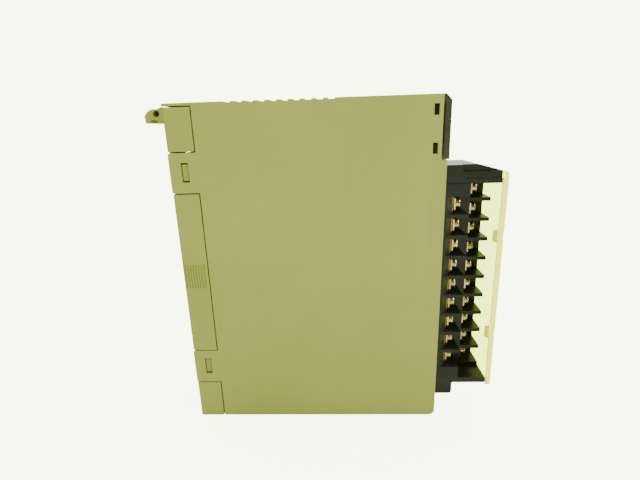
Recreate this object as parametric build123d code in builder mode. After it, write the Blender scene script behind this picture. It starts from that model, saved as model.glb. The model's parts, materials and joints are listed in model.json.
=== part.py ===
from build123d import *
import os

os.makedirs("parts", exist_ok=True)

# Frame: +Z up, front of the module towards -Y, origin on the rear mounting plane,
# half way across the width and level with the underside. Sizes in millimetres.
# "deep" values are distances in front of the rear plane.

# ---- driving dimensions -------------------------------------------------------
width = 34.5              # module width, X
height = 130.0            # module height, Z
case_deep = 101.0         # rear plane to the front edge of the case
wall = 2.0                # case wall
seam = 0.45               # visible gap between case and rear cover
fit = 0.2                 # gap between pieces that only sit beside each other
running = 0.06            # radial clearance of turning fits
slide = 0.35              # clearance of the plug-in block around its parts

window_high = 22.5        # height of the indicator window at the top of the front
window_setback = 2.1      # case edge is set back here, for the window to sit on
window_proud = 0.8        # window front beyond the case front
window_bevel = 2.2

wing_reach = 10.0         # how far the rear cover wraps round each side
tongue_high = 14.8        # case tongues between the wings of the rear cover
lower_tongue = 16.9       # underside of the lower tongue
upper_tongue = height - 32.1
lip = 1.0                 # case lip over the top of the rear cover
cover_thick = 2.4

vent_slots = 10
vent_pitch = 4.1
vent_wide = 2.3
vent_start = 23.3         # centre of the rearmost slot
vent_notch = 0.5

hook_reach = 8.9          # rear hook beyond the mounting plane
hook_wide = 24.0
hook_top = height
hook_low = hook_top - 6.6

board_x = 8.0             # centre plane of the circuit board
board_thick = 1.6

near_count, far_count = 9, 10      # screws in the two staggered rows
pitch = 8.1
divider_thick = 1.4
near_top = 94.6           # middle of the highest divider of each row
far_top = 91.05
near_tip, far_tip = case_deep + 9.4, case_deep + 20.4      # front edges of the dividers
block_side = 16.05        # half width of the terminal block
block_rear = case_deep + 0.3
block_deep = case_deep + 20.6      # front of the end walls
block_low = 9.8
block_high = 105.5
near_seat, far_seat = case_deep + 3.6, case_deep + 12.4    # seats of the two rows of terminals
near_row, far_row = -10.25, -1.25
step_x = -6.75            # the far row stands on a step from here on
fence_x = 2.75            # wall beside the terminals
fence_thick = 2.0

plate_wide, plate_high, plate_thick = 6.4, pitch - divider_thick - 0.7, 0.9
washer_side, washer_thick = plate_high - 0.4, 0.6
head_d, head_high = washer_side - 0.2, 2.0
screw_d = 3.0
shank_in = 2.8            # below the seat

flap_front = case_deep + 23.0      # front face of the clear cover
flap_thick = 1.5
flap_low, flap_high = 13.0, 102.5
flap_edge = 15.75
hinge_x = 13.6
hinge_deep = case_deep + 18.9
hinge_r = 2.2
pin_r = 1.1
ear_r = 2.0

bolt_r = 2.0              # captive bolt that holds the foot of the module
driver_x, driver_z = -6.0, 6.4
driver_r = 3.0            # way for the screwdriver, under the terminal block
boss_deep = 12.0

# ---- worked out from them -----------------------------------------------------
side = width / 2
inside = side - wall
window_low = height - window_high
pocket_high = window_low - 0.3
near_z = [near_top - pitch * (i + 0.5) for i in range(near_count)]
far_z = [far_top - pitch * (i - 0.5) for i in range(far_count)]
near_dividers = [near_top - pitch * (i + 1) for i in range(near_count)]
far_dividers = [far_top - pitch * i for i in range(far_count)]
terminals = [(near_row, near_seat, z) for z in near_z] + [(far_row, far_seat, z) for z in far_z]
tongues = [(lower_tongue, lower_tongue + tongue_high), (upper_tongue, upper_tongue + tongue_high)]
board_face = board_x - board_thick / 2


def block(x0, x1, deep0, deep1, z0, z1, mode=Mode.ADD):
    """A box between two values of X, of depth in front of the rear plane and of Z."""
    with Locations(((x0 + x1) / 2, -(deep0 + deep1) / 2, (z0 + z1) / 2)):
        Box(x1 - x0, deep1 - deep0, z1 - z0, mode=mode)


def rod(x, z, r, deep0, deep1, mode=Mode.ADD):
    """A round bar along Y."""
    with Locations(Location((x, -(deep0 + deep1) / 2, z), (90, 0, 0))):
        Cylinder(r, deep1 - deep0, mode=mode)


def post(x, deep, r, z0, z1, mode=Mode.ADD):
    """A round bar along Z."""
    with Locations((x, -deep, (z0 + z1) / 2)):
        Cylinder(r, z1 - z0, mode=mode)


def crossbar(deep, z, r, x0, x1, mode=Mode.ADD):
    """A round bar along X."""
    with Locations(Location(((x0 + x1) / 2, -deep, z), (0, 90, 0))):
        Cylinder(r, x1 - x0, mode=mode)


def keep(builder, name):
    builder.part.label = name
    export_step(builder.part, f"parts/{name}.step")


# ---- main case: a sleeve, open at the rear and the front ------------------------
latch_slots = [(4.3, 7.1, z0 + 4.0, z0 + 11.2) for z0, _ in tongues]
slot_back, slot_front = case_deep - 5.3, case_deep - 3.5
window_slots = [(slot_back, slot_front, height - 7.0, height - 3.2),
                (slot_back, slot_front, height - 20.3, height - 16.4)]
board_posts = [(14.0, 36.0), (20.0, height - 18.0), (case_deep - 21.0, 12.0)]      # (deep, z)

with BuildPart() as main_case:
    with BuildSketch(Plane.YZ.offset(-side)) as case_outline:
        with BuildLine():
            step = wing_reach + seam
            Polyline(
                (0, height), (0, height - lip), (-step, height - lip),
                (-step, tongues[1][1]), (0, tongues[1][1]), (0, tongues[1][0]),
                (-step, tongues[1][0]), (-step, tongues[0][1]), (0, tongues[0][1]),
                (0, tongues[0][0]), (-step, tongues[0][0]), (-step, 0),
                (-case_deep, 0), (-case_deep, window_low),
                (-case_deep + window_setback, window_low), (-case_deep + window_setback, height),
                close=True,
            )
        make_face()
        corners = case_outline.vertices().filter_by_position(Axis.X, -0.01, 0.01)
        fillet(corners.filter_by_position(Axis.Y, 0, height - 2), radius=0.9)
        fillet(case_outline.vertices().group_by(Axis.X)[0].sort_by(Axis.Y)[0], radius=2.2)
    extrude(amount=width)
    fillet(main_case.edges().filter_by(Axis.Y).filter_by_position(Axis.Z, height - 0.1, height + 0.1)
           .sort_by(Axis.X)[0::1], radius=0.4)
    block(-inside, inside, -1, case_deep + 1, wall, height - wall, mode=Mode.SUBTRACT)
    for deep0, deep1, z0, z1 in latch_slots + window_slots:
        block(-side - 1, side + 1, deep0, deep1, z0, z1, mode=Mode.SUBTRACT)
    for i in range(vent_slots):
        d0 = vent_start + i * vent_pitch - vent_wide / 2
        block(-side - 1, side + 1, d0, d0 + vent_wide, height - vent_notch, height + 1,
              mode=Mode.SUBTRACT)
        block(-inside + 1, inside - 1, d0, d0 + vent_wide, height - wall - 1, height,
              mode=Mode.SUBTRACT)
        block(-inside + 1, inside - 1, d0, d0 + vent_wide, -1, wall + 1, mode=Mode.SUBTRACT)
    for deep, z in board_posts:
        crossbar(deep, z, 3.0, board_x + board_thick / 2, inside)
        crossbar(deep, z, 1.0, board_x - 1, inside - 1, mode=Mode.SUBTRACT)
keep(main_case, "main_case")

# ---- rear cover: back plate, side wings, latches and the mounting hook -----------
wings = [(0, tongues[0][0] - seam), (tongues[0][1] + seam, tongues[1][0] - seam),
         (tongues[1][1] + seam, height - lip - seam)]
grip_grooves, grip_pitch, grip_wide, grip_cut = 8, 1.07, 0.45, 0.35
grip_z = (height / 2 - 5.1, height / 2 + 4.8)
slot_x = (-1.4, 2.0)                       # mating slot of the bus connector
shell_x = (-4.6, board_face)
shell_z = (78.0, 112.0)
shell_front = 0.6

with BuildPart() as rear_cover:
    block(-inside + fit, inside - fit, 0, cover_thick, 0, wings[2][1])
    for z0, z1 in wings:
        for s in (-1, 1):
            x0, x1 = sorted((s * side, s * (inside - fit)))
            block(x0, x1, 0, wing_reach, z0, z1)
    block(-inside + fit, inside - fit, 0, wing_reach, 0, wall)
    upright = rear_cover.edges().filter_by(Axis.Z).filter_by_position(Axis.Y, -0.01, 0.01)
    fillet(upright.filter_by(lambda e: abs(abs(e.center().X) - side) < 0.01), radius=0.8)
    for deep0, deep1, z0, z1 in latch_slots:
        for s in (-1, 1):
            arm = sorted((s * (inside - fit), s * (inside - 1.4)))
            barb = sorted((s * (inside - fit), s * (side - 0.6)))
            block(*arm, cover_thick, deep1 + 1.2, z0 + 0.6, z1 - 0.6)
            block(*barb, deep0 + 0.4, deep1 - 0.4, z0 + 0.6, z1 - 0.6)
    for i in range(grip_grooves):
        d0 = 0.95 + i * grip_pitch
        for s in (-1, 1):
            x0, x1 = sorted((s * (side + 1), s * (side - grip_cut)))
            block(x0, x1, d0, d0 + grip_wide, *grip_z, mode=Mode.SUBTRACT)
    block(shell_x[0] - slide, shell_x[1] + slide, -1, cover_thick + 1, shell_z[0] - slide,
          shell_z[1] + slide, mode=Mode.SUBTRACT)
    rod(driver_x, driver_z, 4.0, 0, boss_deep)
    rod(driver_x, driver_z, bolt_r + running, -1, boss_deep + 1, mode=Mode.SUBTRACT)
    with BuildSketch(Plane.YZ.offset(-hook_wide / 2)):
        with BuildLine():
            Polyline((0, hook_low), (0, hook_top - lip - seam), (2.2, hook_top - 0.9),
                     (3.9, hook_top - 1.5), (5.8, hook_top - 1.6), (7.4, hook_top - 2.2),
                     (hook_reach, hook_top - 3.9), (hook_reach - 0.3, hook_low), close=True)
        make_face()
    extrude(amount=hook_wide)
    crossbar(-4.4, hook_low + 3.4, 1.15, -side, side, mode=Mode.SUBTRACT)
    block(-side, side, -6.7, -4.2, hook_low - 1, hook_low + 1.2, mode=Mode.SUBTRACT)
keep(rear_cover, "rear_cover")

# ---- front frame: black panel that closes the case behind the terminal block -----
frame_back, frame_front = case_deep - 4.0, case_deep - 0.1
frame_rim = case_deep - 9.0                # rear of the rims above and below
carrier_x = (-7.5, 3.5)                    # contact carrier of the block, through the frame
carrier_z = (far_z[-1] - 2.6, far_z[0] + 2.5)
jack_x = 8.5
jack_low_z, jack_high_z = block_low + 3.4, block_high - 3.6
jack_r, jack_head_r, jack_head_high = 1.5, 2.7, 2.2
jack_tip, jack_seat = case_deep - 11.0, case_deep + 3.0
jacks = [jack_low_z, jack_high_z]

with BuildPart() as front_frame:
    block(-inside + fit, inside - fit, frame_back, frame_front, wall + fit, pocket_high - fit)
    block(-inside + fit, inside - fit, frame_rim, frame_front, wall + fit, wall + fit + 2)
    block(-inside + fit, inside - fit, frame_rim, frame_front, pocket_high - 2.2,
          pocket_high - fit)
    for z in jacks:
        rod(jack_x, z, 3.4, jack_tip - 1, frame_front)
        rod(jack_x, z, jack_r + running, jack_tip - 0.5, frame_front + 1, mode=Mode.SUBTRACT)
    rod(driver_x, driver_z, driver_r, frame_rim - 1, frame_front + 1, mode=Mode.SUBTRACT)
    block(carrier_x[0] - slide, carrier_x[1] + slide, frame_back - 1, frame_front + 1,
          carrier_z[0] - slide, carrier_z[1] + slide, mode=Mode.SUBTRACT)
keep(front_frame, "front_frame")

# ---- indicator window: smoked cap over the top of the front -----------------------
lens_back = case_deep - window_setback + 0.2
lens_front = case_deep + window_proud
arm_x = (inside - 1.5, inside - fit)

with BuildPart() as indicator_window:
    with BuildSketch(Plane.YZ.offset(-side)):
        with BuildLine():
            Polyline((-lens_back, window_low + fit), (-lens_front, window_low + fit),
                     (-lens_front, height - window_bevel),
                     (-lens_front + window_bevel, height), (-lens_back, height), close=True)
        make_face()
    extrude(amount=width)
    fillet(indicator_window.edges().filter_by(Axis.Z).group_by(Axis.Y)[0], radius=0.5)
    block(-arm_x[0], arm_x[0], lens_back - 1, lens_front - 1.3, window_low + 1.6, height - 2.8,
          mode=Mode.SUBTRACT)
    for deep0, deep1, z0, z1 in window_slots:
        for s in (-1, 1):
            arm = sorted((s * arm_x[0], s * arm_x[1]))
            barb = sorted((s * arm_x[1], s * (side - 0.5)))
            block(*arm, deep0, lens_back, z0 + 0.2, z1 - 0.2)
            block(*barb, deep0 + 0.2, deep1 - 0.3, z0 + 0.2, z1 - 0.2)
keep(indicator_window, "indicator_window")

# ---- indicators: mask, small board and lamps behind the window ---------------------
lamp_columns, lamp_rows = 8, 3
lamp_side = 1.8
lamps = [(-9.8 + 2.8 * c, window_low + 5.5 + 4.6 * r) for c in range(lamp_columns)
         for r in range(lamp_rows)]
mask_back, mask_front = case_deep - 4.4, case_deep - 3.2
mini_back, mini_front = case_deep - 7.8, case_deep - 6.2

with BuildPart() as indicator_mask:
    block(-inside + 1.9, inside - 1.9, mask_back, mask_front, window_low + 0.5, height - wall - fit)
    for x, z in lamps:
        block(x - 1.1, x + 1.1, mask_back - 1, mask_front + 1, z - 1.1, z + 1.1, mode=Mode.SUBTRACT)
    for x in (-12.4, 12.4):
        rod(x, window_low + 10, 1.2, mini_front, mask_back)
keep(indicator_mask, "indicator_mask")

with BuildPart() as indicator_board:
    block(-13, 13, mini_back, mini_front, window_low + 2, window_low + 18.5)
keep(indicator_board, "indicator_board")

with BuildPart() as status_lamps:
    for x, z in lamps:
        block(x - lamp_side / 2, x + lamp_side / 2, mini_front, mask_back + 0.3,
              z - lamp_side / 2, z + lamp_side / 2)
keep(status_lamps, "status_lamps")

# ---- main board and what is soldered to it ------------------------------------------
with BuildPart() as main_board:
    block(board_face, board_face + board_thick, 4, case_deep - 13, 6, height - 6)
    for deep, z in board_posts:
        crossbar(deep, z, 1.1, board_face - 1, board_face + board_thick + 1, mode=Mode.SUBTRACT)
keep(main_board, "main_board")

with BuildPart() as board_screws:
    for deep, z in board_posts:
        crossbar(deep, z, 2.3, board_face - 1.7, board_face)
        crossbar(deep, z, 0.95, board_face, inside - 2)
        for turn in (0, 90):
            with Locations(Location((board_face - 1.7, -deep, z), (turn, 0, 0))):
                Box(1.6, 2.8, 0.6, mode=Mode.SUBTRACT)
keep(board_screws, "board_screws")

relay_count, relay_pitch, relay_first = 8, 10.2, 20.0
relay_z = [relay_first + relay_pitch * i for i in range(relay_count)]

with BuildPart() as output_relays:
    for z in relay_z:
        block(board_face - 15, board_face, 56, 76, z - 4.3, z + 4.3)
    fillet(output_relays.edges().filter_by(Axis.Y), radius=0.5)
keep(output_relays, "output_relays")

with BuildPart() as optocouplers:
    for z in relay_z:
        block(board_face - 3.4, board_face, 45, 51.4, z - 2.3, z + 2.3)
keep(optocouplers, "optocouplers")

chips = [(30.0, 60.0, 14.0, 14.0), (30.0, 84.0, 10.0, 16.0), (34.0, 112.0, 16.0, 8.0)]

with BuildPart() as logic_chips:
    for deep, z, long, high in chips:
        block(board_face - 1.6, board_face, deep - long / 2, deep + long / 2, z - high / 2, z + high / 2)
keep(logic_chips, "logic_chips")

with BuildPart() as capacitors:
    for z in (24.0, 38.0):
        crossbar(26, z, 4.0, board_face - 11, board_face)
    fillet(capacitors.edges().filter_by(GeomType.CIRCLE), radius=0.6)
keep(capacitors, "capacitors")

# ---- bus connector at the rear --------------------------------------------------------
contact_rows, contact_pitch, contact_side = 16, 1.7, 0.6
shell_back = 13.0
slot_z = (shell_z[0] + 3, shell_z[1] - 3)
first_contact = (slot_z[0] + slot_z[1]) / 2 - contact_pitch * (contact_rows - 1) / 2
blades = []                                # (x0, x1, depth of the tail, z)
for i in range(contact_rows):
    z = first_contact + contact_pitch * i
    blades.append((slot_x[0], slot_x[0] + contact_side, shell_back + 1.8, z))
    blades.append((slot_x[1] - contact_side, slot_x[1], shell_back + 0.4, z + contact_pitch / 2))

with BuildPart() as bus_connector:
    block(*shell_x, shell_front, shell_back, *shell_z)
    block(*slot_x, shell_front - 1, 7.5, *slot_z, mode=Mode.SUBTRACT)
    for x0, x1, _, z in blades:
        block(x0, x1, 7, shell_back + 1, z - contact_side / 2, z + contact_side / 2,
              mode=Mode.SUBTRACT)
keep(bus_connector, "bus_connector")

with BuildPart() as bus_contacts:
    for x0, x1, tail, z in blades:
        z0, z1 = z - contact_side / 2, z + contact_side / 2
        block(x0, x1, 1.6, tail + contact_side, z0, z1)
        block(x0, board_face, tail, tail + contact_side, z0, z1)
keep(bus_contacts, "bus_contacts")

# ---- socket for the plug-in terminal block -----------------------------------------------
pin_x = {near_row: -4.6, far_row: 0.6}
pin_side = 1.0
pin_tip = case_deep - 12.0
pin_root = block_rear + 2.7
pins = [(pin_x[x], z) for x, _, z in terminals]
socket_back, socket_front = case_deep - 19.0, frame_back - fit

with BuildPart() as terminal_socket:
    block(carrier_x[0], board_face, socket_back, socket_front, *carrier_z)
    hole = pin_side / 2 + 0.15
    for x, z in pins:
        block(x - hole, x + hole, pin_tip - 2, socket_front + 1, z - hole, z + hole,
              mode=Mode.SUBTRACT)
keep(terminal_socket, "terminal_socket")

with BuildPart() as socket_contacts:
    for x, z in pins:
        back = socket_back - (4 if x == pin_x[near_row] else 2)
        block(x - 0.4, x + 0.4, back, socket_back, z - 0.4, z + 0.4)
        block(x, board_face, back, back + 0.6, z - 0.4, z + 0.4)
keep(socket_contacts, "socket_contacts")

# ---- captive bolt at the foot of the module ----------------------------------------------
with BuildPart() as foot_bolt:
    rod(driver_x, driver_z, bolt_r, 0.5, boss_deep + 0.3)
    rod(driver_x, driver_z, 3.4, boss_deep + 0.3, boss_deep + 3.1)
    for turn in (0, 90):
        with Locations(Location((driver_x, -boss_deep - 3.1, driver_z), (0, turn, 0))):
            Box(4.4, 2.4, 0.9, mode=Mode.SUBTRACT)
keep(foot_bolt, "foot_bolt")

# ---- terminal block: stepped body open on its near side ------------------------------------
wall_low_z = (15.0, 17.3)                  # end walls, bottom and top
wall_high_z = (98.6, 103.0)
notch_x = (fence_x + fence_thick, hinge_x - ear_r - 0.3)     # way to the fixing screws
head_clear = 0.15
flank_deep, top_deep = case_deep + 7.0, case_deep + 6.2    # lower parts beside and above the terminals
gusset_x = (-14.4, notch_x[0])
ledge_slope = (2.0, 2.4)                   # sloped near edge of the ledge, X and depth
bar_step = 0.5                             # the upper bar of the top end wall is set back

with BuildPart() as terminal_base:
    with BuildSketch(Plane.XY.offset(wall_low_z[0])):
        with BuildLine():
            Polyline((-block_side, -block_rear), (-block_side, -near_seat + ledge_slope[1]),
                     (-block_side + ledge_slope[0], -near_seat), (step_x, -near_seat),
                     (step_x, -far_seat), (fence_x, -far_seat), (fence_x, -block_deep),
                     (fence_x + fence_thick, -block_deep), (fence_x + fence_thick, -flank_deep),
                     (block_side, -flank_deep), (block_side, -block_rear), close=True)
        make_face()
    extrude(amount=wall_high_z[1] - wall_low_z[0])
    half = divider_thick / 2
    for z in near_dividers:
        block(-block_side, step_x, near_seat - ledge_slope[1], near_tip, z - half, z + half)
    for z in far_dividers:
        block(step_x, fence_x, far_seat - 1, far_tip, z - half, z + half)
    for z0, z1 in (wall_low_z, wall_high_z):
        block(-block_side, notch_x[0], block_rear, block_deep, z0, z1)
        block(notch_x[1], hinge_x + ear_r, block_rear, hinge_deep, z0, z1)
        post(hinge_x, hinge_deep, ear_r, z0, z1)
    block(-block_side, block_side, block_rear, top_deep, wall_high_z[0], block_high)
    block(-block_side, step_x, block_rear, flank_deep, *wall_high_z)
    block(-block_side, step_x, block_rear, near_tip, near_top - half, wall_high_z[0])
    block(-block_side, block_side, block_rear, flank_deep, block_low, wall_low_z[1])
    block(-block_side, step_x, block_rear, near_tip, wall_low_z[1] - 0.5, near_dividers[-1])
    with BuildSketch(Plane.YZ.offset(gusset_x[0])):
        with BuildLine():
            Polyline((-top_deep + 0.2, wall_high_z[1]), (-top_deep + 0.2, block_high),
                     (-top_deep - 5.8, block_high), (-block_deep, wall_high_z[1]), close=True)
        make_face()
    extrude(amount=gusset_x[1] - gusset_x[0])
    chamfer(terminal_base.edges().filter_by(Axis.X).group_by(Axis.Z)[0].sort_by(Axis.Y)[0], length=0.7)
    for deep0, deep1, z0, cut in ((case_deep, near_tip + 1, wall_high_z[0], 0.35),
                                  (flank_deep, block_deep + 1, wall_high_z[0] + 1.75, 0.3)):
        block(-block_side - 1, -block_side + 0.4, deep0, deep1, z0, z0 + cut, mode=Mode.SUBTRACT)
    block(-block_side - 1, -block_side + bar_step, near_tip, block_deep + 1, wall_high_z[0] + 2,
          wall_high_z[1] + 1, mode=Mode.SUBTRACT)
    block(*carrier_x, frame_back + fit, block_rear, *carrier_z)
    for x, z in pins:
        block(x - pin_side / 2, x + pin_side / 2, pin_tip, pin_root, z - pin_side / 2,
              z + pin_side / 2, mode=Mode.SUBTRACT)
    for x, seat, z in terminals:
        rod(x, z, screw_d / 2 + 0.05, seat - shank_in - 0.2, seat + 1, mode=Mode.SUBTRACT)
    for z in jacks:
        rod(jack_x, z, jack_r + running, block_rear - 5, jack_seat + 1, mode=Mode.SUBTRACT)
        rod(jack_x, z, jack_head_r + head_clear, jack_seat, block_deep, mode=Mode.SUBTRACT)
    for z0 in (wall_low_z[1] - 1.4, wall_high_z[0] - 1):
        post(hinge_x, hinge_deep, pin_r + running, z0, z0 + 3.4, mode=Mode.SUBTRACT)
keep(terminal_base, "terminal_base")

with BuildPart() as terminal_plates:
    for x, seat, z in terminals:
        block(x - plate_wide / 2, x + plate_wide / 2, seat, seat + plate_thick,
              z - plate_high / 2, z + plate_high / 2)
        rod(x, z, screw_d / 2 + 0.05, seat - 1, seat + 2, mode=Mode.SUBTRACT)
keep(terminal_plates, "terminal_plates")

with BuildPart() as terminal_washers:
    for x, seat, z in terminals:
        front = seat + plate_thick
        block(x - washer_side / 2, x + washer_side / 2, front, front + washer_thick,
              z - washer_side / 2, z + washer_side / 2)
        rod(x, z, screw_d / 2 + 0.05, front - 1, front + 2, mode=Mode.SUBTRACT)
keep(terminal_washers, "terminal_washers")

with BuildPart() as terminal_screws:
    for x, seat, z in terminals:
        front = seat + plate_thick + washer_thick
        rod(x, z, screw_d / 2, seat - shank_in, front)
        rod(x, z, head_d / 2, front, front + head_high)
    fillet(terminal_screws.faces().filter_by(GeomType.CYLINDER)
           .filter_by(lambda f: f.radius > screw_d / 2 + 0.1).edges()
           .filter_by(GeomType.CIRCLE).filter_by(lambda e: any(
               abs(-e.center().Y - seat - plate_thick - washer_thick - head_high) < 0.01
               for seat in (near_seat, far_seat))), radius=0.6)
    for x, seat, z in terminals:
        top = seat + plate_thick + washer_thick + head_high
        for turn in (0, 90):
            with Locations(Location((x, -top, z), (0, turn, 0))):
                Box(3.4, 2.2, 0.8, mode=Mode.SUBTRACT)
keep(terminal_screws, "terminal_screws")

with BuildPart() as block_pins:
    for x, z in pins:
        block(x - pin_side / 2, x + pin_side / 2, pin_tip, pin_root, z - pin_side / 2, z + pin_side / 2)
keep(block_pins, "block_pins")

# ---- two captive screws that hold and free the terminal block ---------------------------------
for name, z in (("lower_block_screw", jack_low_z), ("upper_block_screw", jack_high_z)):
    with BuildPart() as jack:
        rod(jack_x, z, jack_r, jack_tip, jack_seat)
        rod(jack_x, z, jack_head_r, jack_seat + 0.02, jack_seat + jack_head_high)
        rod(jack_x, z, jack_r, jack_seat - 1, jack_seat + 1)
        for turn in (0, 90):
            with Locations(Location((jack_x, -jack_seat - jack_head_high, z), (0, turn, 0))):
                Box(3.6, 2.2, 0.8, mode=Mode.SUBTRACT)
    keep(jack, name)

# ---- clear cover over the terminals, hinged on the far side --------------------------------------
flap_back = flap_front - flap_thick
barrel_z = (wall_low_z[1] + 0.4, wall_high_z[0] - 0.4)
catch_z = [(35.6, 40.0), (76.0, 80.4)]

with BuildPart() as terminal_cover:
    block(-flap_edge, hinge_x, flap_back, flap_front, flap_low, flap_high)
    fillet(terminal_cover.edges().filter_by(Axis.Y).group_by(Axis.X)[0], radius=1.5)
    block(-flap_edge, -flap_edge + 1.0, flap_back - 0.5, flap_back, flap_low + 2, flap_high - 2)
    block(hinge_x, hinge_x + 1.8, hinge_deep, flap_front, *barrel_z)
    post(hinge_x, hinge_deep, hinge_r, *barrel_z)
    post(hinge_x, hinge_deep, pin_r, barrel_z[0] - 1.6, barrel_z[1] + 1.6)
    for z0, z1 in catch_z:
        block(-flap_edge, -flap_edge + 2.2, flap_back - 2.0, flap_back, z0, z1)
        block(-flap_edge - 1, -flap_edge + 0.5, flap_back + 0.4, flap_front + 1, z0 + 0.8, z1 - 0.8,
              mode=Mode.SUBTRACT)
keep(terminal_cover, "terminal_cover")
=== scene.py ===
import json
import math

import bmesh
import bpy
from mathutils import Matrix, Vector


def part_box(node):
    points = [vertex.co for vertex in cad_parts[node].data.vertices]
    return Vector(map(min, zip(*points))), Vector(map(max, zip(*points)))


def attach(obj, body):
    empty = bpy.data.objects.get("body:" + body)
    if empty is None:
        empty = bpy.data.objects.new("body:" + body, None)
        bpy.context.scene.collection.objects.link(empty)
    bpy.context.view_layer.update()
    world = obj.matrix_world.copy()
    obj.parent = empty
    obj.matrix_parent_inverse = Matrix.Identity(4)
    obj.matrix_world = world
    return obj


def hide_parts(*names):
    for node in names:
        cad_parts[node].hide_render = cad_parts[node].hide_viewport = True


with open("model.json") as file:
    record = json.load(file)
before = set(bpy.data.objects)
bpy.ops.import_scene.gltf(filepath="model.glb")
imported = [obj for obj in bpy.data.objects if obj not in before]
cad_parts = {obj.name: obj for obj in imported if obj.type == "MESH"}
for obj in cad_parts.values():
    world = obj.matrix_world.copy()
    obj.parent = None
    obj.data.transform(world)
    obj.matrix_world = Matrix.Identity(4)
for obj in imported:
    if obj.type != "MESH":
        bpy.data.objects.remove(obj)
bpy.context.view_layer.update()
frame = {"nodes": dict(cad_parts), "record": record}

nodes = frame["nodes"]
bodyOf = {n: b for b, members in frame["record"]["behaviour"]["bodies"].items() for n in members}
mm = 0.001
print("frame loaded:", len(nodes), "nodes")


# shader helpers: a term is one socket, and sums and products of terms add Math nodes
class Term:
    def __init__(self, shade, socket):
        self.shade, self.socket = shade, socket

    def join(self, operation, other, swapped=False):
        pair = (other, self) if swapped else (self, other)
        return self.shade.node("ShaderNodeMath", {"operation": operation}, {0: pair[0], 1: pair[1]})

    def __add__(self, other):
        return self.join("ADD", other)

    def __radd__(self, other):
        return self.join("ADD", other, True)

    def __sub__(self, other):
        return self.join("SUBTRACT", other)

    def __rsub__(self, other):
        return self.join("SUBTRACT", other, True)

    def __mul__(self, other):
        return self.join("MULTIPLY", other)

    def __rmul__(self, other):
        return self.join("MULTIPLY", other, True)


class Shade:
    def __init__(self, name):
        self.material = bpy.data.materials.new(name)
        self.material.use_nodes = True
        self.nodes = self.material.node_tree.nodes
        self.links = self.material.node_tree.links
        self.nodes.clear()
        self.output = self.nodes.new("ShaderNodeOutputMaterial")

    def node(self, kind, settings=None, values=None, out=0):
        made = self.nodes.new(kind)
        for key, value in (settings or {}).items():
            if key == "stops":
                ramp = made.color_ramp
                while len(ramp.elements) < len(value):
                    ramp.elements.new(0.5)
                for element, (place, colour) in zip(ramp.elements, value):
                    element.position, element.color = place, (*colour, 1.0)
            else:
                setattr(made, key, value)
        for key, value in (values or {}).items():
            if isinstance(value, Term):
                self.links.new(value.socket, made.inputs[key])
            else:
                made.inputs[key].default_value = value
        return Term(self, made.outputs[out])

    def place(self, stretch=(1, 1, 1)):
        where = self.node("ShaderNodeTexCoord", out="Object")
        return self.node("ShaderNodeMapping", {"vector_type": "TEXTURE"}, {"Vector": where, "Scale": stretch})

    def noise(self, scale, detail, rough, stretch=(1, 1, 1)):
        return self.node("ShaderNodeTexNoise", None, {"Vector": self.place(stretch), "Scale": scale,
                                                      "Detail": detail, "Roughness": rough})

    def ramp(self, factor, low, high):
        return self.node("ShaderNodeMapRange", {"interpolation_type": "SMOOTHSTEP"},
                         {"Value": factor, "From Min": low, "From Max": high})

    def mix(self, factor, first, second):
        mixer = self.node("ShaderNodeMix", {"data_type": "RGBA"}, None, out=2)
        made = mixer.socket.node
        for index, value in ((0, factor), (6, first), (7, second)):
            if isinstance(value, Term):
                self.links.new(value.socket, made.inputs[index])
            elif index:
                made.inputs[index].default_value = (*value, 1.0)
            else:
                made.inputs[index].default_value = value
        return mixer

    def bump(self, height, distance, strength=1.0, under=None):
        values = {"Height": height, "Distance": distance, "Strength": strength}
        if under:
            values["Normal"] = under
        return self.node("ShaderNodeBump", None, values)

    def finish(self, **values):
        names = {"colour": "Base Color", "rough": "Roughness", "metal": "Metallic", "coat": "Coat Weight",
                 "alpha": "Alpha", "normal": "Normal", "specular": "Specular IOR Level"}
        inputs = {names[key]: value for key, value in values.items()}
        return self.shine(self.node("ShaderNodeBsdfPrincipled", None, inputs))

    def shine(self, surface):
        self.links.new(surface.socket, self.output.inputs["Surface"])
        return self.material

    def shown(self):
        return Term(self, self.output.inputs["Surface"].links[0].from_socket)


# moulded plastics
mouldWear = {"speckEdge": (0.70, 0.78), "rubScale": 90, "rubEdge": (0.62, 0.80), "grainRough": 0.16,
             "cloudRough": 0.10, "rubPolish": 0.08, "cloudDeep": 0.00006}


def mouldedPlastic(name, look):
    shade = Shade(name)
    cloud = shade.noise(look["cloudScale"], 4, 0.6)
    fine = shade.noise(look["grainScale"], 3, 0.65)
    speck = shade.ramp(shade.noise(look["speckScale"], 1, 0.4), *mouldWear["speckEdge"])
    rubs = shade.noise(mouldWear["rubScale"], 2, 0.55, stretch=look["rubStretch"])
    rubs = shade.ramp(rubs, *mouldWear["rubEdge"])
    tone = shade.mix(shade.ramp(cloud, 0.3, 0.7), look["colour"], look["aged"])
    tone = shade.mix(speck * look["speck"], tone, look["dust"])
    tone = shade.mix(rubs * look["rub"], tone, look["dust"])
    rough = look["rough"] + (fine - 0.5) * mouldWear["grainRough"] + (cloud - 0.5) * mouldWear["cloudRough"]
    rough = rough - rubs * mouldWear["rubPolish"]
    relief = shade.bump(fine, look["grainDeep"], 0.8)
    relief = shade.bump(cloud, mouldWear["cloudDeep"], 0.5, relief)
    return shade.finish(colour=tone, rough=rough, normal=relief, specular=look["specular"])


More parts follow.
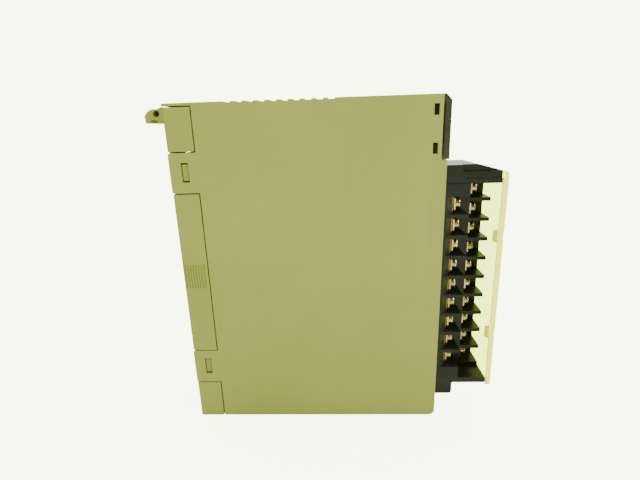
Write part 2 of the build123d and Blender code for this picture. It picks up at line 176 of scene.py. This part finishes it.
caseLook = {"colour": (0.380, 0.402, 0.090), "aged": (0.350, 0.368, 0.080), "dust": (0.48, 0.50, 0.19),
            "cloudScale": 16, "grainScale": 1900, "grainDeep": 0.00004, "speckScale": 700, "speck": 0.10,
            "rub": 0.08, "rubStretch": (1, 1, 6), "rough": 0.55, "specular": 0.3}
coverLook = dict(caseLook, colour=(0.374, 0.394, 0.086), aged=(0.344, 0.360, 0.076))
blackLook = {"colour": (0.007, 0.0082, 0.0045), "aged": (0.010, 0.0115, 0.0065), "dust": (0.06, 0.06, 0.04),
             "cloudScale": 40, "grainScale": 2300, "grainDeep": 0.00003, "speckScale": 900, "speck": 0.25,
             "rub": 0.16, "rubStretch": (1, 5, 1), "rough": 0.32, "specular": 0.27}
frameLook = dict(blackLook, colour=(0.013, 0.014, 0.010), rough=0.45, specular=0.35)

casePlastic = mouldedPlastic("casePlastic", caseLook)
coverPlastic = mouldedPlastic("coverPlastic", coverLook)
blackPlastic = mouldedPlastic("blackPlastic", blackLook)
framePlastic = mouldedPlastic("framePlastic", frameLook)


# metals
platedWear = {"brushScale": 900, "brushRough": 0.2, "spotScale": 650, "spotEdge": (0.60, 0.72),
              "spotRough": 0.15, "spotDull": 0.3}


def platedMetal(name, look):
    shade = Shade(name)
    cloud = shade.noise(look["cloudScale"], 3, 0.6)
    brush = shade.noise(platedWear["brushScale"], 2, 0.6, stretch=look["stretch"])
    spots = shade.ramp(shade.noise(platedWear["spotScale"], 3, 0.6), *platedWear["spotEdge"])
    tone = shade.mix(shade.ramp(cloud, 0.35, 0.7), look["colour"], look["aged"])
    tone = shade.mix(spots * look["tarnish"], tone, look["stain"])
    rough = look["rough"] + (brush - 0.5) * platedWear["brushRough"] + spots * platedWear["spotRough"]
    metal = 1.0 - spots * look["tarnish"] * platedWear["spotDull"]
    relief = shade.bump(brush, look["deep"], 0.7)
    return shade.finish(colour=tone, rough=rough, metal=metal, normal=relief)


plateMetal = platedMetal("plateMetal", {
    "colour": (0.40, 0.22, 0.07), "aged": (0.22, 0.10, 0.03), "stain": (0.05, 0.025, 0.01), "cloudScale": 260,
    "stretch": (6, 1, 1), "tarnish": 0.7, "rough": 0.25, "deep": 0.00004})
screwMetal = platedMetal("screwMetal", {
    "colour": (0.66, 0.56, 0.28), "aged": (0.36, 0.26, 0.09), "stain": (0.08, 0.05, 0.02), "cloudScale": 320,
    "stretch": (1, 5, 1), "tarnish": 0.55, "rough": 0.18, "deep": 0.00003})
contactMetal = platedMetal("contactMetal", {
    "colour": (0.80, 0.62, 0.30), "aged": (0.72, 0.52, 0.24), "stain": (0.30, 0.20, 0.08), "cloudScale": 200,
    "stretch": (1, 6, 1), "tarnish": 0.2, "rough": 0.25, "deep": 0.00001})
blackScrew = platedMetal("blackScrew", {
    "colour": (0.05, 0.05, 0.05), "aged": (0.08, 0.075, 0.07), "stain": (0.12, 0.10, 0.08), "cloudScale": 250,
    "stretch": (1, 4, 1), "tarnish": 0.3, "rough": 0.38, "deep": 0.00002})
canMetal = platedMetal("canMetal", {
    "colour": (0.55, 0.56, 0.58), "aged": (0.48, 0.49, 0.52), "stain": (0.2, 0.2, 0.2), "cloudScale": 120,
    "stretch": (5, 1, 1), "tarnish": 0.15, "rough": 0.3, "deep": 0.00002})


# clear and smoked plastics
windowLook = {"dark": (0.014, 0.008, 0.0025), "light": (0.034, 0.016, 0.006), "rough": 0.12, "scuffRough": 0.18,
              "fineRough": 0.05, "alpha": 0.92, "scuffAlpha": 0.04, "specular": 0.2}


def smokedPlastic(name, look):
    shade = Shade(name)
    cloud = shade.noise(60, 3, 0.6)
    fine = shade.noise(700, 2, 0.6)
    scuffs = shade.ramp(shade.noise(240, 3, 0.6, stretch=(1, 1, 5)), 0.60, 0.72)
    tone = shade.mix(cloud, look["dark"], look["light"])
    rough = look["rough"] + scuffs * look["scuffRough"] + fine * look["fineRough"]
    alpha = look["alpha"] + scuffs * look["scuffAlpha"]
    relief = shade.bump(fine, 0.00001, 0.5)
    return shade.finish(colour=tone, rough=rough, alpha=alpha, normal=relief, specular=look["specular"])


def clearPlastic(name, look):
    shade = Shade(name)
    cloud = shade.noise(45, 3, 0.6)
    fine = shade.noise(500, 2, 0.6)
    scuffs = shade.ramp(shade.noise(260, 4, 0.6, stretch=(1, 1, 14)), 0.50, 0.72)      # moulding streaks
    tone = shade.mix(cloud, look["colour"], tuple(c * 0.93 for c in look["colour"]))
    relief = shade.bump(cloud, 0.0002, 0.25, shade.bump(fine, 0.00001, 0.3))
    shade.finish(colour=tone, rough=0.08 + scuffs * 0.15, normal=relief)
    through = shade.node("ShaderNodeBsdfTransparent", None, {"Color": (*look["through"], 1.0)})
    share = look["solid"] + (cloud - 0.5) * look["haze"] + scuffs * look["haze"]
    return shade.shine(shade.node("ShaderNodeMixShader", None, {0: share, 1: through, 2: shade.shown()}))


smokedWindow = smokedPlastic("smokedPlastic", windowLook)
clearSheet = clearPlastic("clearSheet", {"colour": (0.80, 0.84, 0.30), "through": (0.74, 0.79, 0.38),
                                         "solid": 0.045, "haze": 0.05})
clearEdge = clearPlastic("clearEdge", {"colour": (0.95, 0.92, 0.18), "through": (0.58, 0.52, 0.08),
                                       "solid": 0.42, "haze": 0.30})


boardLook = {"mask": (0.012, 0.085, 0.035), "track": (0.02, 0.14, 0.06), "trackScale": 420,
             "trackDeep": 0.00003, "coat": 0.3}


def boardMask():
    shade = Shade("boardMask")
    weave = shade.noise(800, 2, 0.5)
    tracks = shade.node("ShaderNodeTexWave", {"wave_type": "BANDS", "bands_direction": "DIAGONAL"},
                        {"Vector": shade.place(), "Scale": boardLook["trackScale"], "Distortion": 5,
                         "Detail": 2})
    lines = shade.ramp(tracks, 0.55, 0.7)
    tone = shade.mix(lines, boardLook["mask"], boardLook["track"])
    relief = shade.bump(lines, boardLook["trackDeep"], 0.5, shade.bump(weave, 0.00001, 0.4))
    return shade.finish(colour=tone, rough=0.3 + weave * 0.1, normal=relief, coat=boardLook["coat"])


def packagePlastic(name, colour, rough):
    shade = Shade(name)
    fine = shade.noise(1400, 3, 0.6)
    cloud = shade.noise(120, 2, 0.5)
    tone = shade.mix(cloud, colour, tuple(c * 0.85 for c in colour))
    return shade.finish(colour=tone, rough=rough + (fine - 0.5) * 0.15, normal=shade.bump(fine, 0.00003, 0.7))


boardGreen = boardMask()
chipPlastic = packagePlastic("chipPlastic", (0.02, 0.02, 0.022), 0.5)
relayPlastic = packagePlastic("relayPlastic", (0.62, 0.62, 0.56), 0.35)
lampPlastic = packagePlastic("lampPlastic", (0.45, 0.60, 0.36), 0.2)
print("materials ready:", len(bpy.data.materials))


def newObject(name, data):
    made = bpy.data.objects.new(name, data)
    bpy.context.scene.collection.objects.link(made)
    return made


def meshFrom(name, work):
    mesh = bpy.data.meshes.new(name)
    work.to_mesh(mesh)
    work.free()
    return mesh


# a copy of a CAD node with its edges rounded, which stands for the node
shells = {"weld": 0.002, "flatAngle": 0.4, "sharpAngle": 32, "sheetFacing": 0.7}      # mm and degrees


def mergedMesh(nodeName):
    work = bmesh.new()
    work.from_mesh(nodes[nodeName].data)
    bmesh.ops.remove_doubles(work, verts=work.verts, dist=shells["weld"] * mm)
    bmesh.ops.dissolve_limit(work, angle_limit=math.radians(shells["flatAngle"]), verts=work.verts,
                             edges=work.edges)
    return work


def keepPiece(piece, nodeName):
    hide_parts(nodeName)
    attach(piece, bodyOf[nodeName])
    return piece


def plainMesh(piece):
    view = bpy.context.evaluated_depsgraph_get()
    view.update()
    made = bpy.data.meshes.new_from_object(piece.evaluated_get(view))
    piece.modifiers.clear()
    piece.data = made
    return piece


def softened(nodeName, pieceName, radius, materials, segments=2):
    piece = newObject(pieceName, meshFrom(pieceName, mergedMesh(nodeName)))
    for material in materials:
        piece.data.materials.append(material)
    bevel = piece.modifiers.new("edges", "BEVEL")
    bevel.width = radius * mm
    bevel.segments = segments
    bevel.limit_method = "ANGLE"
    bevel.angle_limit = math.radians(shells["sharpAngle"])
    plainMesh(piece)
    piece.data.polygons.foreach_set("use_smooth", [True] * len(piece.data.polygons))
    piece.modifiers.new("shading", "WEIGHTED_NORMAL")
    return keepPiece(piece, nodeName)


edges = {"main_case": 0.25, "rear_cover": 0.22, "front_frame": 0.2, "indicator_window": 0.3,
         "terminal_base": 0.16, "terminal_cover": 0.18}

caseShell = softened("main_case", "caseShell", edges["main_case"], [casePlastic])
rearShell = softened("rear_cover", "rearShell", edges["rear_cover"], [coverPlastic])
frontPanel = softened("front_frame", "frontPanel", edges["front_frame"], [framePlastic])
windowCap = softened("indicator_window", "windowCap", edges["indicator_window"], [smokedWindow], 3)
terminalBody = softened("terminal_base", "terminalBody", edges["terminal_base"], [blackPlastic])
clearCover = softened("terminal_cover", "clearCover", edges["terminal_cover"], [clearSheet, clearEdge])
for face in clearCover.data.polygons:
    if abs(face.normal.y) < shells["sheetFacing"]:
        face.material_index = 1               # edges and rod, deeper in colour than the sheet
print("shells ready")


# a cross-recess screw head, its front towards -Y, its seat at the origin
def crossOutline(work, long, thick, deep):
    quarter = [(long, thick), (thick, thick), (thick, long)]
    ring = []
    for turn in range(4):
        spin = Matrix.Rotation(-turn * math.pi / 2, 3, "Y")
        ring += [work.verts.new(spin @ Vector((x, -deep, z))) for x, z in quarter]
    return ring


def joinRings(work, first, second):
    for i in range(len(first)):
        j = (i + 1) % len(first)
        work.faces.new((first[i], first[j], second[j], second[i]))


def crossScrew(name, size):
    work = bmesh.new()
    r, high, rim = size["radius"] * mm, size["high"] * mm, size["rim"] * mm
    profile = [(r - 0.12 * mm, 0), (r, 0.12 * mm), (r, high - rim)]
    profile += [(r - rim * (1 - math.cos(i * math.pi / 10)), high - rim + rim * math.sin(i * math.pi / 10))
                for i in range(1, 6)]
    rings = [[work.verts.new((reach * math.cos(a), -y, reach * math.sin(a)))
              for a in (2 * math.pi * j / size["sides"] for j in range(size["sides"]))] for reach, y in profile]
    for low, up in zip(rings, rings[1:]):
        joinRings(work, low, up)
    work.faces.new(rings[0])
    long, thick = size["cross"] * mm / 2, size["slot"] * mm / 2
    mouth = crossOutline(work, long, thick, high)
    bevel = crossOutline(work, long - 0.12 * mm, thick - 0.06 * mm, high - 0.18 * mm)
    floor = crossOutline(work, long * 0.62, thick * 0.7, high - size["deep"] * mm)
    joinRings(work, mouth, bevel)
    joinRings(work, bevel, floor)
    work.faces.new(floor)
    border = [e for e in work.edges if len(e.link_faces) == 1]
    bmesh.ops.triangle_fill(work, use_beauty=True, edges=border)
    bmesh.ops.recalc_face_normals(work, faces=work.faces)
    head = newObject(name, meshFrom(name, work))
    addShank(head, size)
    return head


def addShank(head, size):
    work = bmesh.new()
    work.from_mesh(head.data)
    r, long, thread = size["shankRadius"] * mm, size["shank"] * mm, size["thread"] * mm
    sides, steps = 20, size["turns"] * 4                   # four rings for each turn of the thread
    rings = []
    for i in range(steps + 1):
        y = long * i / steps
        ring = []
        for j in range(sides):
            angle = 2 * math.pi * j / sides
            wave = math.cos(2 * math.pi * (i / 4 - j / sides))
            reach = r - thread * 0.5 * (1 - wave) if 0 < i < steps else r - thread
            ring.append(work.verts.new((reach * math.cos(angle), y, reach * math.sin(angle))))
        rings.append(ring)
    for low, high in zip(rings, rings[1:]):
        for j in range(sides):
            k = (j + 1) % sides
            work.faces.new((low[j], high[j], high[k], low[k]))
    work.faces.new(rings[0])
    work.faces.new(rings[-1][::-1])
    work.normal_update()
    work.to_mesh(head.data)
    work.free()


# geometry nodes: one master part repeated on the two rows of terminals
def rowTree():
    tree = bpy.data.node_groups.new("terminalRows", "GeometryNodeTree")
    face = tree.interface
    face.new_socket("Geometry", in_out="OUTPUT", socket_type="NodeSocketGeometry")
    sockets = {}
    for label, kind in (("Geometry", "NodeSocketGeometry"), ("Master", "NodeSocketObject"),
                        ("Finish", "NodeSocketMaterial"), ("Near Count", "NodeSocketInt"),
                        ("Far Count", "NodeSocketInt"), ("Pitch", "NodeSocketFloat"),
                        ("Near Start", "NodeSocketVector"), ("Far Start", "NodeSocketVector"),
                        ("Turn", "NodeSocketFloat"), ("Tilt", "NodeSocketFloat"), ("Seed", "NodeSocketInt")):
        sockets[label] = face.new_socket(label, in_out="INPUT", socket_type=kind).identifier
    enter = tree.nodes.new("NodeGroupInput")
    leave = tree.nodes.new("NodeGroupOutput")

    def add(kind, **links):
        node = tree.nodes.new(kind)
        for key, value in links.items():
            socket = node.inputs[key.replace("_", " ")]
            if hasattr(value, "is_linked"):
                tree.links.new(value, socket)
            else:
                socket.default_value = value
        return node

    step = add("ShaderNodeCombineXYZ", Z=enter.outputs["Pitch"])
    down = add("ShaderNodeVectorMath")
    down.operation = "SCALE"
    tree.links.new(step.outputs[0], down.inputs[0])
    down.inputs["Scale"].default_value = -1.0
    join = tree.nodes.new("GeometryNodeJoinGeometry")
    for row in ("Far", "Near"):
        line = add("GeometryNodeMeshLine", Count=enter.outputs[row + " Count"],
                   Start_Location=enter.outputs[row + " Start"], Offset=down.outputs[0])
        tree.links.new(line.outputs[0], join.inputs[0])
    info = add("GeometryNodeObjectInfo", Object=enter.outputs["Master"])
    spread = add("FunctionNodeRandomValue", Seed=enter.outputs["Seed"])
    spread.data_type = "FLOAT"
    tilt = add("FunctionNodeRandomValue", Seed=enter.outputs["Seed"])
    tilt.data_type = "FLOAT"
    for node, name in ((spread, "Turn"), (tilt, "Tilt")):
        low = add("ShaderNodeMath")
        low.operation = "MULTIPLY"
        tree.links.new(enter.outputs[name], low.inputs[0])
        low.inputs[1].default_value = -1.0
        tree.links.new(low.outputs[0], node.inputs[2])
        tree.links.new(enter.outputs[name], node.inputs[3])
    turn = add("ShaderNodeCombineXYZ", Y=spread.outputs[1], X=tilt.outputs[1])
    put = add("GeometryNodeInstanceOnPoints", Points=join.outputs[0], Instance=info.outputs["Geometry"])
    tree.links.new(turn.outputs[0], put.inputs["Rotation"])
    real = add("GeometryNodeRealizeInstances", Geometry=put.outputs[0])
    finish = add("GeometryNodeSetMaterial", Geometry=real.outputs[0], Material=enter.outputs["Finish"])
    tree.links.new(finish.outputs[0], leave.inputs[0])
    return tree, sockets


terminalTree, terminalSockets = rowTree()
screwLow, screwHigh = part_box("terminal_screws")
rows = {"nearCount": 9, "farCount": 10, "headRadius": 2.7, "step": 8.8, "stagger": 4.55, "plateSeat": 0.9}
topZ = screwHigh.z - rows["headRadius"] * mm
lowZ = screwLow.z + rows["headRadius"] * mm
rowPitch = (topZ - lowZ) / (rows["farCount"] - 1)
nearX = screwLow.x + rows["headRadius"] * mm
farX = screwHigh.x - rows["headRadius"] * mm
farHead = screwLow.y                      # front of the far heads


def onTerminals(pieceName, nodeName, master, material, offset, turn, tilt, seed):
    holder = newObject(pieceName, bpy.data.meshes.new(pieceName))
    modifier = holder.modifiers.new("rows", "NODES")
    modifier.node_group = terminalTree
    farY = farHead + offset * mm
    values = {"Master": master, "Finish": material, "Near Count": rows["nearCount"],
              "Far Count": rows["farCount"], "Pitch": rowPitch,
              "Near Start": (nearX, farY + rows["step"] * mm, topZ - rows["stagger"] * mm),
              "Far Start": (farX, farY, topZ), "Turn": turn, "Tilt": tilt, "Seed": seed}
    for label, value in values.items():
        modifier[terminalSockets[label]] = value
    plainMesh(holder)
    bpy.data.objects.remove(master)
    print(pieceName, len(holder.data.polygons), "faces")
    return keepPiece(holder, nodeName)


screwSize = {"radius": 2.7, "high": 2.0, "rim": 0.8, "sides": 32, "cross": 3.4, "slot": 0.8, "deep": 1.2,
             "shank": 4.4, "shankRadius": 1.48, "thread": 0.22, "turns": 8}
terminalScrews = onTerminals("terminalScrews", "terminal_screws", crossScrew("screwMaster", screwSize),
                             screwMetal, screwSize["high"], math.pi, 0.0, 7)


def roundedTile(name, size):
    work = bmesh.new()
    halfX, halfZ, corner = size["wide"] * mm / 2, size["high"] * mm / 2, size["corner"] * mm
    outline = []
    for sx, sz, start in ((1, 1, 0), (-1, 1, 90), (-1, -1, 180), (1, -1, 270)):
        for i in range(4):
            angle = math.radians(start + i * 30)
            outline.append((sx * (halfX - corner) + corner * math.cos(angle),
                            sz * (halfZ - corner) + corner * math.sin(angle)))
    count = len(outline)
    hole = size["hole"] * mm
    outer, inner = [], []
    for y in (0.0, -size["thick"] * mm):
        outer.append([work.verts.new((x, y, z)) for x, z in outline])
        ring = []
        for x, z in outline:
            angle = math.atan2(z, x)
            ring.append(work.verts.new((hole * math.cos(angle), y, hole * math.sin(angle))))
        inner.append(ring)
    for i in range(count):
        j = (i + 1) % count
        work.faces.new((outer[0][i], outer[0][j], outer[1][j], outer[1][i]))
        work.faces.new((inner[0][j], inner[0][i], inner[1][i], inner[1][j]))
        work.faces.new((outer[0][j], outer[0][i], inner[0][i], inner[0][j]))
        work.faces.new((outer[1][i], outer[1][j], inner[1][j], inner[1][i]))
    bmesh.ops.recalc_face_normals(work, faces=work.faces)
    tile = newObject(name, meshFrom(name, work))
    bevel = tile.modifiers.new("edges", "BEVEL")
    bevel.width, bevel.segments = size["edge"] * mm, 2
    bevel.limit_method, bevel.angle_limit = "ANGLE", math.radians(40)
    return plainMesh(tile)


washerSize = {"wide": 5.6, "high": 5.6, "thick": 0.6, "corner": 0.7, "hole": 1.56, "edge": 0.1}
plateSize = {"wide": 6.4, "high": 6.0, "thick": 0.5, "corner": 0.35, "hole": 1.56, "edge": 0.12}
terminalWashers = onTerminals("terminalWashers", "terminal_washers", roundedTile("washerMaster", washerSize),
                              screwMetal, screwSize["high"] + washerSize["thick"], 0.0, 0.0, 3)
terminalPlates = onTerminals("terminalPlates", "terminal_plates", roundedTile("plateMaster", plateSize),
                             plateMetal, screwSize["high"] + washerSize["thick"] + rows["plateSeat"],
                             0.0, 0.0, 5)
print("terminals ready")


# captive screws: the two of the block and the foot bolt
def captiveScrew(pieceName, nodeName, size, material):
    low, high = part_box(nodeName)
    centre = (low + high) / 2
    screw = crossScrew(pieceName, size)
    screw.data.transform(Matrix.Translation((centre.x, low.y + size["high"] * mm, centre.z)))
    screw.data.materials.append(material)
    return keepPiece(screw, nodeName)


jackSize = {"radius": 2.7, "high": 2.2, "rim": 0.6, "sides": 32, "cross": 3.4, "slot": 0.8,
            "deep": 1.2, "shank": 14.0, "shankRadius": 1.5, "thread": 0.22, "turns": 26}
footSize = {"radius": 3.4, "high": 2.8, "rim": 0.9, "sides": 32, "cross": 4.2, "slot": 1.0,
            "deep": 1.4, "shank": 11.8, "shankRadius": 2.0, "thread": 0.3, "turns": 16}
lowerJack = captiveScrew("lowerJack", "lower_block_screw", jackSize, blackScrew)
upperJack = captiveScrew("upperJack", "upper_block_screw", jackSize, blackScrew)
footScrew = captiveScrew("footScrew", "foot_bolt", footSize, screwMetal)

# CAD nodes that keep their shape get their finish
finishes = {"indicator_mask": framePlastic, "indicator_board": boardGreen, "status_lamps": lampPlastic,
            "main_board": boardGreen, "board_screws": screwMetal, "output_relays": relayPlastic,
            "optocouplers": chipPlastic, "logic_chips": chipPlastic, "capacitors": canMetal,
            "bus_connector": framePlastic, "bus_contacts": contactMetal, "terminal_socket": framePlastic,
            "socket_contacts": contactMetal, "block_pins": contactMetal}
for nodeName, material in finishes.items():
    data = nodes[nodeName].data
    data.materials.clear()
    data.materials.append(material)
print("CAD nodes finished")


# floor, light and camera
studio = {"floorSize": 6.0, "floorColour": (0.88, 0.91, 0.74), "floorGlow": (0.86, 1.0, 0.66), "glow": 7.0,
          "backdrop": (0.80, 1.0, 0.58), "backdropPower": 9.0, "sky": (0.96, 1.0, 0.86), "skyPower": 3.2,
          "skyLean": (0.8, 0.0, 0.6), "skyFade": ((0.20, 0.08), (0.95, 1.0))}


def plainFloor(size):
    half = size / 2
    mesh = bpy.data.meshes.new("studioFloor")
    corners = [(-half, -half, 0), (half, -half, 0), (half, half, 0), (-half, half, 0)]
    mesh.from_pydata(corners, [], [(0, 1, 2, 3)])
    sheet = newObject("studioFloor", mesh)
    shade = Shade("studioFloor")
    cloud = shade.noise(3, 2, 0.5)
    tone = shade.mix(cloud, studio["floorColour"], tuple(c * 0.985 for c in studio["floorColour"]))
    mesh.materials.append(shade.finish(colour=tone, rough=0.6, specular=0.2))
    seen = shade.node("ShaderNodeLightPath", out="Is Camera Ray")       # paper looks brighter than it lights
    glow = shade.node("ShaderNodeEmission", None, {"Color": (*studio["floorGlow"], 1.0),
                                                   "Strength": seen * studio["glow"]})
    shade.shine(shade.node("ShaderNodeAddShader", None, {0: shade.shown(), 1: glow}))


def plainSky():
    world = bpy.data.worlds.new("studioSky")
    bpy.context.scene.world = world
    world.use_nodes = True
    tree = world.node_tree
    soft = tree.nodes["Background"]
    soft.inputs["Strength"].default_value = studio["skyPower"]
    way = tree.nodes.new("ShaderNodeTexCoord")
    lean = tree.nodes.new("ShaderNodeVectorMath")
    lean.operation = "DOT_PRODUCT"
    lean.inputs[1].default_value = studio["skyLean"]
    fade = tree.nodes.new("ShaderNodeValToRGB")            # bright above and beyond, dark in front
    for element, (place, level) in zip(fade.color_ramp.elements, studio["skyFade"]):
        element.position, element.color = place, (*(c * level for c in studio["sky"]), 1)
    tree.links.new(way.outputs["Generated"], lean.inputs[0])
    tree.links.new(lean.outputs["Value"], fade.inputs[0])
    tree.links.new(fade.outputs[0], soft.inputs["Color"])
    bright = tree.nodes.new("ShaderNodeBackground")
    bright.inputs["Color"].default_value = (*studio["backdrop"], 1)
    bright.inputs["Strength"].default_value = studio["backdropPower"]
    path = tree.nodes.new("ShaderNodeLightPath")
    mixed = tree.nodes.new("ShaderNodeMixShader")
    tree.links.new(path.outputs["Is Camera Ray"], mixed.inputs[0])
    tree.links.new(soft.outputs[0], mixed.inputs[1])
    tree.links.new(bright.outputs[0], mixed.inputs[2])
    tree.links.new(mixed.outputs[0], tree.nodes["World Output"].inputs["Surface"])


plainFloor(studio["floorSize"])
plainSky()

lamps = [
    {"name": "keyLight", "at": (-1.1, 0.1, 0.65), "size": 0.9, "power": 4.2, "colour": (1.0, 1.0, 0.90)},
    {"name": "frontLight", "at": (-0.25, -1.0, 0.55), "size": 0.4, "power": 13, "colour": (1.0, 1.0, 0.92)},
    {"name": "rearLight", "at": (0.2, 1.0, 0.8), "size": 0.8, "power": 3.5, "colour": (0.98, 1.0, 0.94)},
]
aim = Vector((0, -0.06, 0.06))            # about the middle of the module
for lamp in lamps:
    data = bpy.data.lights.new(lamp["name"], "AREA")
    data.energy, data.size, data.color = lamp["power"], lamp["size"], lamp["colour"]
    light = newObject(lamp["name"], data)
    light.location = lamp["at"]
    light.rotation_euler = (aim - light.location).to_track_quat("-Z", "Y").to_euler()

# the camera stands near the left side of the module and looks slightly down at it
view = {"at": (-0.16425, -0.0614, 0.1203), "forward": (0.96143, 0.04433, -0.27146),
        "up": (0.2725, -0.0207, 0.9619), "lens": 22.58, "sensor": 36.0, "clip": 0.01}
forward = Vector(view["forward"]).normalized()
right = forward.cross(Vector(view["up"])).normalized()
up = right.cross(forward)
turn = Matrix((right, up, -forward)).transposed().to_4x4()
cameraData = bpy.data.cameras.new("camera")
cameraData.lens, cameraData.sensor_width = view["lens"], view["sensor"]
cameraData.clip_start = view["clip"]
camera = newObject("camera", cameraData)
camera.matrix_world = Matrix.Translation(view["at"]) @ turn
bpy.context.scene.camera = camera
print("studio ready")
